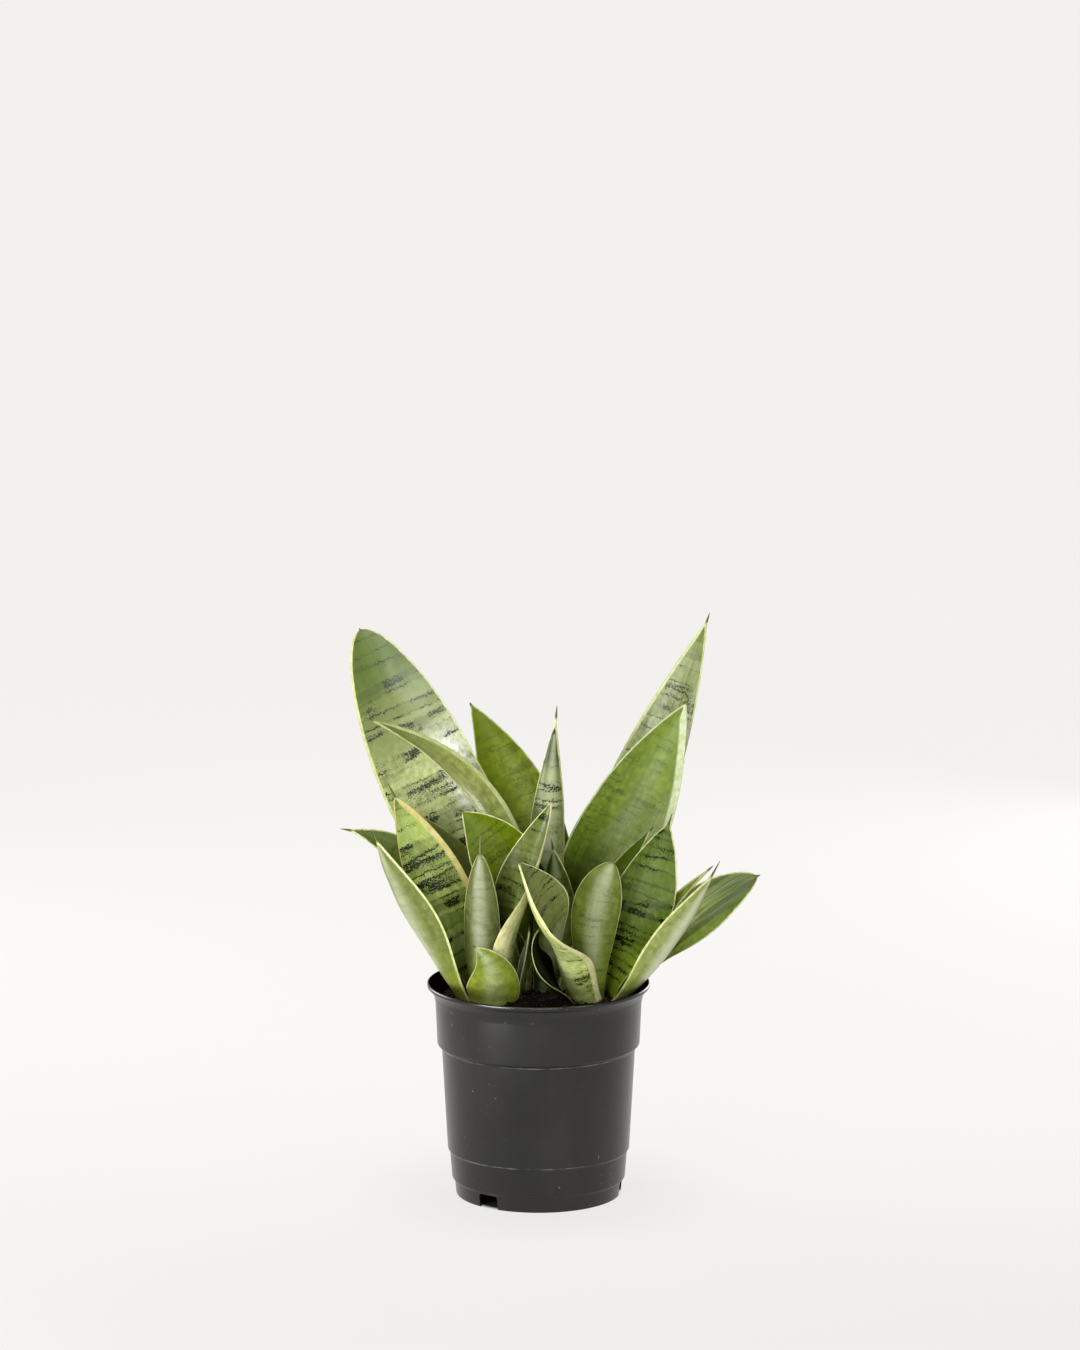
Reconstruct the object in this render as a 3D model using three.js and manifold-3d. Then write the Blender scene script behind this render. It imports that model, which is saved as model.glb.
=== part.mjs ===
// A bird's-nest snake plant in a plastic nursery pot: three rosettes of fleshy leaves, each on a crown of
// its own, in one potful of soil. Millimetres, +Z up, with the origin on the pot's axis where its base
// meets the surface that it stands on. The plant's front faces -Y.
import * as THREE from "three";
import { mergeVertices } from "three/addons/utils/BufferGeometryUtils.js";
import Module from "manifold-3d";

const wasm = await Module();
wasm.setup();

// ---- driving dimensions -------------------------------------------------------------------------------
const RIM_RADIUS = 60;
const POT_HEIGHT = 116.5;
const WALL = 1.5;
const FOOT_RADIUS = 44.6; // at the surface that the pot stands on
const FOOT_HEIGHT = 8.5; // up to the first step of the wall
const RIB_HEIGHT = 24.5; // up to the second step
const COLLAR_HEIGHT = 82; // up to the third, under the collar
const FLOOR_UNDERSIDE = 7.8;
const PAD_RADIUS = 14; // the middle of the floor drops to the ground again
const NOTCH_WIDTH = 12;
const NOTCH_HEIGHT = 7.5;
const NOTCH_DEPTH = 10; // of the cut, which goes right through the foot's wall
const NOTCH_BEARINGS = [233, 353, 113]; // degrees from +X
const DRAIN_HOLES = 6;
const DRAIN_RADIUS = 3.5;
const DRAIN_CIRCLE = 29; // radius of the circle that the drain holes lie on
const DRAIN_SIDES = 12;

const SOIL_LEVEL = 108;
const CROWN_RADIUS = 18.5;
const CROWN_TOP = 106.4;
const CROWN_DEPTH = 26;
const PIT_RADIUS = 22; // of the hollow in the soil that bares each crown's top
const GAP = 0.3; // clearance between pieces that rest on or in each other
const SEAT_TRIM = 2; // each leaf is drawn this much longer, then cut level to sit on its crown

const POT_SIDES = 48;
const CROWN_SIDES = 20;
const LEAF_RINGS = 11;
const LEAF_COLUMNS = 6;

const KEEL_THICKNESS = 2.4;
const TIP_THICKNESS = 1.3;
const MARGIN_THICKNESS = 0.7;
const AWL_WIDTH = 1.5; // the stiff awl that a leaf ends in
const TWIST_END = 0.67; // the share of its length by which a leaf has turned all the way
const CUP_END = 0.4; // the share by which it has left the crown's curve for its own
const RING_BUNCHING = 0.6; // 0 spaces a leaf's rings evenly, 1 draws them close at the tip

// ---- the plant ----------------------------------------------------------------------------------------
// A leaf leaves its crown on the side that `bearing` gives, in degrees from +X, `ring` from the middle. It
// follows the parabola through `mid` to `tip`. `width` is its greatest, measured round its arc, at the
// share `widest` of its length, and `base` is the share of it that clasps the crown. `cup` and `tipCup`
// are the angles from keel to margin half-way up and at the tip, `twist` is how far it turns on the way,
// a small `point` makes a blunt tip, and `awl` is the length of its awl.
const leafDefaults = {
  base: 0.5,
  widest: 0.45,
  point: 0.9,
  cup: 38,
  tipCup: 25,
  twist: 0,
  awl: 5,
};

const ROSETTES = {
  back: {
    x: 2,
    y: 29.5,
    leaves: [
      {
        bearing: 142, ring: 13.5, mid: [-53, 57, 206], tip: [-98, 74, 297], width: 58,
        base: 0.25, widest: 0.55, point: 0.52, cup: 24, tipCup: 18, twist: -62, awl: 1,
      },
      {
        bearing: 160, ring: 11, mid: [-29, 38, 202], tip: [-95, 48, 252], width: 31,
        base: 0.34, cup: 46, twist: -10,
      },
      {
        bearing: 90, ring: 13.2, mid: [-6, 72, 180], tip: [-38, 94, 252], width: 46,
        base: 0.18, cup: 32, awl: 1,
      },
      {
        bearing: 278, ring: 2.6, mid: [4.7, 35.7, 184], tip: [10, 36.5, 261], width: 23.4,
        base: 0.32, point: 1.1, cup: 52, awl: 6,
      },
      {
        bearing: 45, ring: 13.2, mid: [53, 68, 194.5], tip: [94, 92, 302.5], width: 46,
        base: 0.22, widest: 0.42, cup: 40, twist: 15,
      },
      {
        bearing: 44, ring: 9, mid: [43.3, 46.5, 186], tip: [82, 54, 262], width: 52,
        base: 0.18, widest: 0.5, twist: 50, awl: 3,
      },
      {
        bearing: 34, ring: 15.9, mid: [53, 65, 168], tip: [80, 78, 222], width: 23,
        base: 0.36, twist: 10,
      },
      {
        bearing: -46, ring: 15.2, mid: [32.2, 22.2, 149], tip: [62, 27, 196], width: 24,
        base: 0.32, twist: 80, awl: 2,
      },
      {
        bearing: 222, ring: 16.5, mid: [-38, 27, 166], tip: [-73, 28, 207], width: 34,
        base: 0.36, twist: -70,
      },
      {
        bearing: 195, ring: 8, mid: [-13, 17.3, 165], tip: [-43, 12, 209], width: 38.5,
        base: 0.16, widest: 0.65, twist: -88, awl: 2,
      },
      {
        bearing: 268, ring: 11, mid: [9, 11, 150], tip: [7, 9, 193], width: 25,
        base: 0.44,
      },
      {
        bearing: 88, ring: 16, mid: [2, 72, 152], tip: [0, 96, 192], width: 30,
        base: 0.36,
      },
      {
        bearing: 135, ring: 16.2, mid: [-26, 65, 150], tip: [-48, 92, 188], width: 28,
        base: 0.36,
      },
    ],
  },
  left: {
    x: -28,
    y: 0,
    leaves: [
      {
        bearing: 150, ring: 8, mid: [-54, 3, 165], tip: [-81, 8, 224], width: 37,
        base: 0.45, cup: 30, twist: -38, point: 0.8, awl: 8,
      },
      {
        bearing: 132, ring: 15, mid: [-60, 20, 169], tip: [-107, 22, 196], width: 25,
        base: 0.45, twist: -30,
      },
      {
        bearing: 195, ring: 12, mid: [-66, -11, 150], tip: [-88, -14, 202], width: 36,
        cup: 50, twist: 25,
      },
      {
        bearing: 275, ring: 16, mid: [-24.6, -24.3, 127], tip: [-35, -27, 142.5], width: 31,
        base: 0.78, widest: 0.22, point: 1, awl: 1,
      },
      {
        bearing: 258, ring: 8, mid: [-31, -12, 150], tip: [-31, -15, 202], width: 22,
        base: 0.6, point: 0.6, awl: 12,
      },
      {
        bearing: 328, ring: 12, mid: [-9.3, -8.9, 158.2], tip: [8, -4, 218.4], width: 43,
        base: 0.46, cup: 68, tipCup: 35, twist: 62, awl: 2,
      },
      {
        bearing: 2, ring: 16, mid: [-7, -6, 126], tip: [-5, -9, 149], width: 18,
        base: 0.6, awl: 2,
      },
      {
        bearing: 80, ring: 4, mid: [-28, 4, 135], tip: [-28, 5, 160], width: 12,
        base: 0.6, awl: 3,
      },
    ],
  },
  right: {
    x: 31.5,
    y: 3,
    leaves: [
      {
        bearing: 25, ring: 8.5, mid: [55, 7, 155], tip: [72, 14, 206], width: 38,
        base: 0.36, cup: 30, twist: 60, point: 0.8, awl: 6,
      },
      {
        bearing: 240, ring: 11.5, mid: [4.7, -23.7, 149], tip: [-11, -39.4, 192.5], width: 50,
        base: 0.4, widest: 0.58, cup: 66, tipCup: 40, twist: -80, awl: 2,
      },
      {
        bearing: 266, ring: 6, mid: [30.5, -8, 155], tip: [45, -5, 191], width: 28,
        base: 0.35, widest: 0.66, point: 0.6, awl: 9,
      },
      {
        bearing: 207, ring: 13.8, mid: [-1, -15, 129], tip: [1, -11, 148.5], width: 28,
        base: 0.28, widest: 0.45, cup: 46, twist: -38, awl: 1,
      },
      {
        bearing: 326, ring: 12, mid: [66, -13, 134], tip: [97, -14, 186], width: 27,
        base: 0.5, cup: 44, twist: -15, awl: 9,
      },
      {
        bearing: 20, ring: 11.8, mid: [66, 8, 147], tip: [94, 6, 179], width: 15,
        base: 0.6, awl: 3,
      },
      {
        bearing: 20, ring: 14.1, mid: [81, 15, 146], tip: [120, 20, 171], width: 28,
        base: 0.32, widest: 0.58, point: 0.6, twist: 60, awl: 2,
      },
      {
        bearing: 110, ring: 3, mid: [29, 7, 142], tip: [24, 9, 172], width: 14,
        base: 0.6, awl: 3,
      },
    ],
  },
};

// ---- helpers ------------------------------------------------------------------------------------------
const degrees = Math.PI / 180;

const mix = (a, b, share) => a + (b - a) * share;

const ease = (share) => {
  const t = Math.min(1, Math.max(0, share));
  return t * t * (3 - 2 * t);
};

const aroundAxis = (bearing, radius) =>
  new THREE.Vector3(radius * Math.cos(bearing * degrees), radius * Math.sin(bearing * degrees), 0);

function toSolid(geometry) {
  const bare = new THREE.BufferGeometry();
  bare.setAttribute("position", geometry.getAttribute("position").clone());
  if (geometry.index) bare.setIndex(geometry.index.clone());
  const merged = mergeVertices(bare, 1e-4);
  const mesh = new wasm.Mesh({
    numProp: 3,
    vertProperties: new Float32Array(merged.attributes.position.array),
    triVerts: new Uint32Array(merged.index.array),
  });
  return new wasm.Manifold(mesh);
}

function toGeometry(solid) {
  const mesh = solid.getMesh();
  const geometry = new THREE.BufferGeometry();
  geometry.setAttribute("position", new THREE.BufferAttribute(mesh.vertProperties.slice(), 3));
  geometry.setIndex(new THREE.BufferAttribute(mesh.triVerts.slice(), 1));
  geometry.computeVertexNormals();
  return geometry;
}

const cutAway = (geometry, tools) =>
  toGeometry(tools.reduce((solid, tool) => solid.subtract(toSolid(tool)), toSolid(geometry)));

// Turns a profile of [radius, height] points, from the axis at the bottom to the axis at the top.
function lathe(profile, sides) {
  const points = profile.map(([radius, height]) => new THREE.Vector2(radius, height));
  return new THREE.LatheGeometry(points, sides).rotateX(Math.PI / 2);
}

// ---- the pot ------------------------------------------------------------------------------------------
// Radii of the wall's outside at the heights where it steps or bends, from the foot up to the lip.
const wallOutside = [
  [FOOT_RADIUS + 0.8, FOOT_HEIGHT - 0.6],
  [FOOT_RADIUS + 2.2, FOOT_HEIGHT + 0.6],
  [FOOT_RADIUS + 3.4, RIB_HEIGHT - 0.5],
  [FOOT_RADIUS + 4.5, RIB_HEIGHT + 0.5],
  [RIM_RADIUS - 7.8, COLLAR_HEIGHT - 0.8],
  [RIM_RADIUS - 5.4, COLLAR_HEIGHT + 1.2],
  [RIM_RADIUS - 4.4, POT_HEIGHT - 10.5],
  [RIM_RADIUS - 3.6, POT_HEIGHT - 6.5],
  [RIM_RADIUS - 1.9, POT_HEIGHT - 3.5],
];

function potGeometry() {
  const floorTop = FLOOR_UNDERSIDE + WALL;
  const inside = wallOutside
    .filter(([, height]) => height > floorTop)
    .map(([radius, height]) => [radius - WALL, height + (height < COLLAR_HEIGHT + 2 ? 0.6 : 0)]);
  const profile = [
    [0, 0],
    [PAD_RADIUS, 0],
    [PAD_RADIUS + 1.5, FLOOR_UNDERSIDE],
    [FOOT_RADIUS - WALL, FLOOR_UNDERSIDE],
    [FOOT_RADIUS - WALL - 0.4, 0],
    [FOOT_RADIUS - 0.5, 0],
    [FOOT_RADIUS, 0.6],
    ...wallOutside,
    [RIM_RADIUS, POT_HEIGHT - 1.9],
    [RIM_RADIUS, POT_HEIGHT - 0.6],
    [RIM_RADIUS - 0.7, POT_HEIGHT],
    [RIM_RADIUS - 1.9, POT_HEIGHT - 0.3],
    ...inside.reverse(),
    [FOOT_RADIUS - 0.8, floorTop],
    [PAD_RADIUS, floorTop],
    [PAD_RADIUS - WALL, WALL],
    [0, WALL],
  ];
  const notches = NOTCH_BEARINGS.map((bearing) =>
    new THREE.BoxGeometry(NOTCH_DEPTH, NOTCH_WIDTH, 2 * NOTCH_HEIGHT)
      .rotateZ(bearing * degrees)
      .translate(...aroundAxis(bearing, FOOT_RADIUS).toArray()),
  );
  const drains = Array.from({ length: DRAIN_HOLES }, (_, i) =>
    new THREE.CylinderGeometry(DRAIN_RADIUS, DRAIN_RADIUS, 4 * WALL, DRAIN_SIDES)
      .rotateX(Math.PI / 2)
      .translate(...aroundAxis((i * 360) / DRAIN_HOLES, DRAIN_CIRCLE).setZ(floorTop).toArray()),
  );
  return cutAway(lathe(profile, POT_SIDES), [...notches, ...drains]);
}

// ---- soil and crowns ----------------------------------------------------------------------------------
// A crown is the short upright rootstock that a rosette's leaves grow from. It narrows downwards.
function crownProfile(clearance) {
  return [
    [0, CROWN_TOP - CROWN_DEPTH - clearance],
    [CROWN_RADIUS * 0.5 + clearance, CROWN_TOP - CROWN_DEPTH - clearance],
    [CROWN_RADIUS * 0.85 + clearance, CROWN_TOP - CROWN_DEPTH * 0.6],
    [CROWN_RADIUS + clearance, CROWN_TOP - 3],
    [CROWN_RADIUS + clearance, CROWN_TOP],
  ];
}

const crownGeometry = (rosette) =>
  lathe([...crownProfile(0), [0, CROWN_TOP]], CROWN_SIDES).translate(rosette.x, rosette.y, 0);

const pitGeometry = (rosette) =>
  lathe(
    [...crownProfile(GAP), [PIT_RADIUS, SOIL_LEVEL], [PIT_RADIUS, POT_HEIGHT], [0, POT_HEIGHT]],
    CROWN_SIDES,
  ).translate(rosette.x, rosette.y, 0);

function soilGeometry() {
  const floorTop = FLOOR_UNDERSIDE + WALL + GAP;
  const clearance = WALL + GAP + 0.4; // the soil stands off the wall's steps
  const side = wallOutside
    .filter(([, height]) => height > floorTop + 1 && height < SOIL_LEVEL)
    .map(([radius, height]) => [radius - clearance, height + 1]);
  const profile = [
    [0, WALL + GAP],
    [PAD_RADIUS - WALL - GAP - 0.4, WALL + GAP],
    [PAD_RADIUS - GAP - 0.4, floorTop],
    [FOOT_RADIUS - 1.6, floorTop],
    ...side,
    [RIM_RADIUS - 4.2 - clearance, SOIL_LEVEL],
    [0, SOIL_LEVEL],
  ];
  return cutAway(lathe(profile, POT_SIDES), Object.values(ROSETTES).map(pitGeometry));
}

// ---- leaves -------------------------------------------------------------------------------------------
// The share of the full width at a share of the blade's length: narrow where it clasps the crown, widest
// part-way up, then drawn in to a point.
function widthAt(share, leaf) {
  if (share < leaf.widest) {
    return mix(leaf.base, 1, Math.sin((share / leaf.widest) * (Math.PI / 2)) ** 1.5);
  }
  const rest = (share - leaf.widest) / (1 - leaf.widest);
  return Math.max(0, Math.cos((rest * Math.PI) / 2)) ** leaf.point;
}

function spineOf(leaf, rosette) {
  const centre = new THREE.Vector3(rosette.x, rosette.y, CROWN_TOP - SEAT_TRIM);
  const seat = aroundAxis(leaf.bearing, leaf.ring).add(centre);
  const mid = new THREE.Vector3(...leaf.mid);
  const tip = new THREE.Vector3(...leaf.tip);
  const handle = mid.multiplyScalar(2).addScaledVector(seat, -0.5).addScaledVector(tip, -0.5);
  return new THREE.QuadraticBezierCurve3(seat, handle, tip);
}

// Goes once round the leaf's section: across its inner face from margin to margin, and back outside.
function sectionPoints(at, along, face, half, cup, keel) {
  const side = new THREE.Vector3().crossVectors(along, face);
  const radius = half / cup;
  const points = [];
  for (const [sign, direction] of [[1, 1], [-1, -1]]) {
    for (let i = 0; i <= LEAF_COLUMNS; i++) {
      const across = direction * (-1 + (2 * i) / LEAF_COLUMNS);
      const angle = cup * across;
      const thickness = mix(keel, MARGIN_THICKNESS, across * across);
      const inward = face.clone().multiplyScalar(Math.cos(angle)).addScaledVector(side, -Math.sin(angle));
      points.push(
        at
          .clone()
          .addScaledVector(side, radius * Math.sin(angle))
          .addScaledVector(face, radius * (1 - Math.cos(angle)))
          .addScaledVector(inward, (sign * thickness) / 2),
      );
    }
  }
  return points;
}

function leafGeometry(given, rosette) {
  const leaf = { ...leafDefaults, ...given };
  const spine = spineOf(leaf, rosette);
  const bladeShare = 1 - leaf.awl / spine.getLength();
  const shares = [];
  for (let ring = 0; ring <= LEAF_RINGS; ring++) {
    const even = ring / LEAF_RINGS;
    shares.push(bladeShare * mix(even, Math.sin((even * Math.PI) / 2), RING_BUNCHING));
  }
  shares.push(1);

  const claspCup = (leaf.base * leaf.width) / 2 / leaf.ring; // the arc that follows the crown's side
  const normal = aroundAxis(leaf.bearing, -1);
  const positions = [];
  for (const share of shares) {
    const along = spine.getTangentAt(share);
    normal.addScaledVector(along, -normal.dot(along)).normalize();
    const turned = ease(share / TWIST_END);
    const face = normal.clone().applyAxisAngle(along, leaf.twist * degrees * turned);
    const half = Math.max(AWL_WIDTH, leaf.width * widthAt(Math.min(1, share / bladeShare), leaf)) / 2;
    const lowerCup = mix(claspCup, leaf.cup * degrees, ease(share / CUP_END));
    const cup = mix(lowerCup, leaf.tipCup * degrees, ease((share - CUP_END) / (1 - CUP_END)));
    const keel = mix(KEEL_THICKNESS, TIP_THICKNESS, share);
    for (const point of sectionPoints(spine.getPointAt(share), along, face, half, cup, keel)) {
      positions.push(...point.toArray());
    }
  }

  const around = 2 * (LEAF_COLUMNS + 1);
  const last = shares.length - 1;
  const index = [];
  for (let ring = 0; ring < last; ring++) {
    for (let i = 0; i < around; i++) {
      const a = ring * around + i;
      const b = ring * around + ((i + 1) % around);
      if (i > LEAF_COLUMNS) {
        index.push(a, b, b + around, a, b + around, a + around); // split like the inner face, point for point
      } else {
        index.push(a, b, a + around, b, b + around, a + around);
      }
    }
  }
  const top = last * around;
  for (let i = 0; i < LEAF_COLUMNS; i++) {
    const [a, b, c, d] = [i, i + 1, around - 1 - i, around - 2 - i];
    index.push(a, c, b, b, c, d);
    index.push(top + a, top + b, top + c, top + b, top + d, top + c);
  }
  const geometry = new THREE.BufferGeometry();
  geometry.setAttribute("position", new THREE.Float32BufferAttribute(positions, 3));
  geometry.setIndex(index);
  const belowSeat = new THREE.BoxGeometry(4 * RIM_RADIUS, 4 * RIM_RADIUS, CROWN_TOP);
  return cutAway(geometry, [belowSeat.translate(0, 0, CROWN_TOP / 2 + GAP)]);
}

// ---- assembly -----------------------------------------------------------------------------------------
const materials = {
  pot: new THREE.MeshStandardMaterial({ color: 0x2f302f, roughness: 0.42, metalness: 0 }),
  soil: new THREE.MeshStandardMaterial({ color: 0x2b1b12, roughness: 1, metalness: 0 }),
  crown: new THREE.MeshStandardMaterial({ color: 0xb98a4e, roughness: 0.8, metalness: 0 }),
  leaf: new THREE.MeshStandardMaterial({ color: 0x87a254, roughness: 0.4, metalness: 0 }),
};

function piece(name, geometry, material) {
  const mesh = new THREE.Mesh(geometry, material);
  mesh.name = name;
  return mesh;
}

const plant = new THREE.Group();
plant.add(piece("pot", potGeometry(), materials.pot));
plant.add(piece("soil", soilGeometry(), materials.soil));
for (const [side, rosette] of Object.entries(ROSETTES)) {
  plant.add(piece(`crown_${side}`, crownGeometry(rosette), materials.crown));
  rosette.leaves.forEach((leaf, i) => {
    plant.add(piece(`leaf_${side}_${i + 1}`, leafGeometry(leaf, rosette), materials.leaf));
  });
}

export default plant;
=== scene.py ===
"""A bird's-nest snake plant in a nursery pot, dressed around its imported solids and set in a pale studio."""

import math
import random
from dataclasses import dataclass

import bmesh
import bpy
from bpy.props import FloatProperty, FloatVectorProperty, IntProperty, PointerProperty
from mathutils import Euler, Matrix, Quaternion, Vector, noise


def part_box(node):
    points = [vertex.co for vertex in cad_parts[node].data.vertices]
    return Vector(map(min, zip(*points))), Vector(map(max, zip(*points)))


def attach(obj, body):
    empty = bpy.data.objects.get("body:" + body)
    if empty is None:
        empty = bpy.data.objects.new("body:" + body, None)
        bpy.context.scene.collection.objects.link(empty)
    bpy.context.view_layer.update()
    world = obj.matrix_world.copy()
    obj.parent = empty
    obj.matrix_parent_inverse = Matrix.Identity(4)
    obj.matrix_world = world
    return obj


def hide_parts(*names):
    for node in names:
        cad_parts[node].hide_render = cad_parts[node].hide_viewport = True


bl_info = {
    "name": "Potted Snake Plant",
    "version": (1, 0, 0),
    "blender": (4, 5, 0),
    "location": "3D View > Sidebar > Snake Plant",
    "description": "Makes a bird's-nest snake plant in a nursery pot, and a studio to look at it in",
    "category": "Object",
}

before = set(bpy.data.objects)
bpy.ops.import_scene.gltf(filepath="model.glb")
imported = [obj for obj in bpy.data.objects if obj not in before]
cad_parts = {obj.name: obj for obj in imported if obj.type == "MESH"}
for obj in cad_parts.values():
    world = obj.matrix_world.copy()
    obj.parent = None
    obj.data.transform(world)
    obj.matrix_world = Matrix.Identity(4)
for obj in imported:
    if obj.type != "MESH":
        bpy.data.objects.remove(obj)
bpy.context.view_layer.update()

MM = 0.001
WELD_REACH = 1e-6  # metres within which the points of a mesh become one

# ---- where things are, in millimetres ----
POT_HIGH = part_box("pot")[1]
CROWN_TOP = 106.4
CROWN_RADIUS = 18.5
CROWN_DEPTH = 26
SOIL_LEVEL = 108
SEAT_TRIM = 2  # a leaf starts this far below its crown's top
ROSETTE_CENTRES = {"back": (2, 29.5), "left": (-28, 0), "right": (31.5, 3)}

FOOT_RADIUS = 44.6
FOOT_HEIGHT = 8.5
RIB_HEIGHT = 24.5
COLLAR_HEIGHT = 82
FLOOR_UNDERSIDE = 7.8
PAD_RADIUS = 14
NOTCH_WIDTH = 12
NOTCH_HEIGHT = 7.5
NOTCH_DEPTH = 10
NOTCH_ROUNDING = 1.6
NOTCH_BEARINGS = (233, 353, 113)
DRAIN_HOLES = 6
DRAIN_RADIUS = 3.5
DRAIN_CIRCLE = 29

TWIST_END = 0.67
CUP_END = 0.4
RING_BUNCHING = 0.6


def srgb(red, green, blue):
    """A screen colour from 0 to 255 as the linear colour that shaders take."""
    return tuple(
        c / 12.92 if c <= 0.04045 else ((c + 0.055) / 1.055) ** 2.4
        for c in (red / 255, green / 255, blue / 255)
    )


# ---- the leaves ----
DEEP_GREEN = (66, 84, 16)
TIP_GREEN = (96, 116, 36)
PALE_GREEN = (172, 181, 120)
FOOT_GREEN = (158, 172, 70)
SHADE_GREEN = (52, 66, 14)


@dataclass(frozen=True)
class Skin:
    """How a leaf is coloured. The face looks to its crown's middle, the back away from it. Colours are
    screen colours from 0 to 255. Pairs of margins are millimetres of cream on the left and on the right, as
    one looks at the face."""

    face: tuple
    back: tuple
    tip: tuple  # colour that both sides deepen to
    tip_from: float = 0.5  # share of the length at which they start to
    tip_over: float = 0.35  # and the share over which they do
    bands: float = 0.9  # strength of the broken dark bands on the face
    back_bands: float = 0.45
    margins: tuple = (0.55, 0.55)
    back_margins: tuple = (0.6, 0.6)
    silver: float = 0.3  # share of silvery bloom on the back, which along the keel is partly a painted sheen
    stripes: float = 0.1  # strength of dark lines along the leaf
    cream: tuple = None  # colour of the margins, where it isn't that of most leaves
    foot: tuple = FOOT_GREEN  # colour towards the crown; where it is dark, it is painted shade deep in the rosette
    foot_to: float = 0.4  # share of the length at which it ends
    gloss: float = 0.35  # of the skin, and a share of it of its waxy coat
    painted_highlight: float = 0  # strength of a painted highlight on the face, right of its middle


SKINS = {
    "broad": Skin(
        (168, 174, 120), PALE_GREEN, (76, 94, 12), 0.6, 0.3, bands=1.1, margins=(1.3, 0.6), painted_highlight=0.95,
    ),
    "olive": Skin(
        (166, 172, 104), PALE_GREEN, TIP_GREEN, 0.7, bands=0.2, margins=(0.8, 2.2), foot=SHADE_GREEN,
        foot_to=0.6,
    ),
    "spring": Skin((136, 150, 40), PALE_GREEN, (108, 126, 24), 0.7, bands=0.4, gloss=0.15),
    "vivid": Skin((104, 118, 8), PALE_GREEN, (92, 112, 10), 0.7, bands=0.5, gloss=0.15),
    "awl_leaf": Skin(
        TIP_GREEN, (152, 160, 108), (50, 72, 20), 0.74, 0.08, back_bands=1, back_margins=(1.2, 0.5),
        silver=0.35,
    ),
    "outer": Skin(
        (164, 168, 132), (176, 182, 140), TIP_GREEN, 0.75, bands=0.8, back_bands=0.6,
        margins=(1.4, 0.8), stripes=0.4,
    ),
    "shield": Skin(
        (120, 138, 48), PALE_GREEN, (110, 130, 44), 0.7, bands=0.4, margins=(0.9, 3.8),
        stripes=0.25, cream=(190, 200, 166), foot=SHADE_GREEN, foot_to=0.55,
    ),
    "shaded": Skin(DEEP_GREEN, (132, 142, 76), DEEP_GREEN, bands=0.5, foot=SHADE_GREEN, gloss=0.1),
    "grey": Skin((154, 156, 92), (150, 156, 104), (120, 128, 72), bands=0.2),
    # a dark green of the leaf's own, deepened further as painted shade deep in the rosette
    "shade_darkened": Skin((92, 114, 12), (140, 154, 70), (84, 104, 14), bands=0.4, gloss=0.15),
    # its dark foot is painted shade low in the rosette
    "banded": Skin(
        (176, 190, 110), PALE_GREEN, (96, 116, 36), 0.7, bands=1.4, margins=(0.5, 3.0), stripes=0.15,
        cream=(192, 184, 124), foot=(50, 78, 6), foot_to=0.7, gloss=0.2,
    ),
    "side": Skin((96, 108, 50), (150, 160, 100), (84, 98, 42), bands=0.4, stripes=0.3, gloss=0.2),
    "pale_back": Skin(
        TIP_GREEN, (108, 116, 56), (98, 112, 50), 0.7, back_bands=0.2, back_margins=(1.1, 0.8),
    ),
    "low_heart": Skin(TIP_GREEN, (136, 147, 58), (116, 132, 50), back_bands=0.25, gloss=0.2),
    "silvered": Skin(TIP_GREEN, (108, 114, 68), (90, 102, 46), 0.75, back_bands=0.25, silver=0.3),
    "heart": Skin(
        TIP_GREEN, (118, 130, 60), (100, 112, 50), 0.75, back_bands=0.4, silver=0.35, gloss=0.25,
    ),
    # the back is paler than the leaf's own colour: painted light on a side that the lamps leave in shade
    "cream_back": Skin(
        (112, 120, 68), (196, 204, 138), (100, 114, 52), 0.7, bands=1, back_bands=0.3,
        back_margins=(0.6, 9.0), cream=(226, 224, 178), gloss=0.2,
    ),
    "jagged": Skin(
        (108, 126, 52), PALE_GREEN, (88, 108, 40), 0.6, bands=1.6, margins=(0.5, 0.6), stripes=0.2,
        foot=(160, 186, 44), foot_to=0.5, gloss=0.15,
    ),
    # the back is paler than the leaf's own colour: painted light on a side that the lamps leave in shade
    "folded": Skin(
        (140, 146, 90), (212, 220, 150), (110, 122, 68), 0.7, bands=1, back_bands=0.9,
        back_margins=(3.0, 0.6), cream=(222, 220, 172), gloss=0.2,
    ),
    # painted shadow: a leaf deep in the shade under the folded leaf, coloured near black and given no shine
    "dark": Skin(
        (16, 20, 6), (60, 72, 26), (26, 34, 10), bands=0.2, margins=(0.3, 0.3),
        foot=(16, 18, 6), gloss=0.0,
    ),
    "lime": Skin((150, 164, 66), (150, 160, 90), (120, 136, 60), bands=0.2, margins=(1.4, 1.0)),
    # its strong silver is partly a painted sheen on the back
    "chalky": Skin(
        TIP_GREEN, (140, 147, 88), (120, 130, 68), 0.7, back_bands=0.1, back_margins=(1.0, 0.9),
        silver=0.6,
    ),
    "streaked": Skin((136, 152, 74), (150, 158, 106), (96, 112, 48), bands=0.15, stripes=1),
    "plain": Skin((126, 140, 70), PALE_GREEN, TIP_GREEN, bands=0.7),
}


@dataclass(frozen=True)
class Leaf:
    """One leaf, in millimetres and degrees. It leaves its crown at `bearing` from +X, `ring` from the
    middle, and follows a parabola through `mid` to `tip`."""

    bearing: float
    ring: float
    mid: tuple
    tip: tuple
    width: float  # the greatest, measured round the leaf's arc
    skin: str  # a key of SKINS
    base: float = 0.5  # share of the width where it clasps the crown
    widest: float = 0.45  # share of the length at which it is widest
    point: float = 0.9  # small for a blunt tip
    cup: float = 38  # angle from keel to margin half-way up
    tip_cup: float = 25
    twist: float = 0
    awl: float = 5


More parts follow.
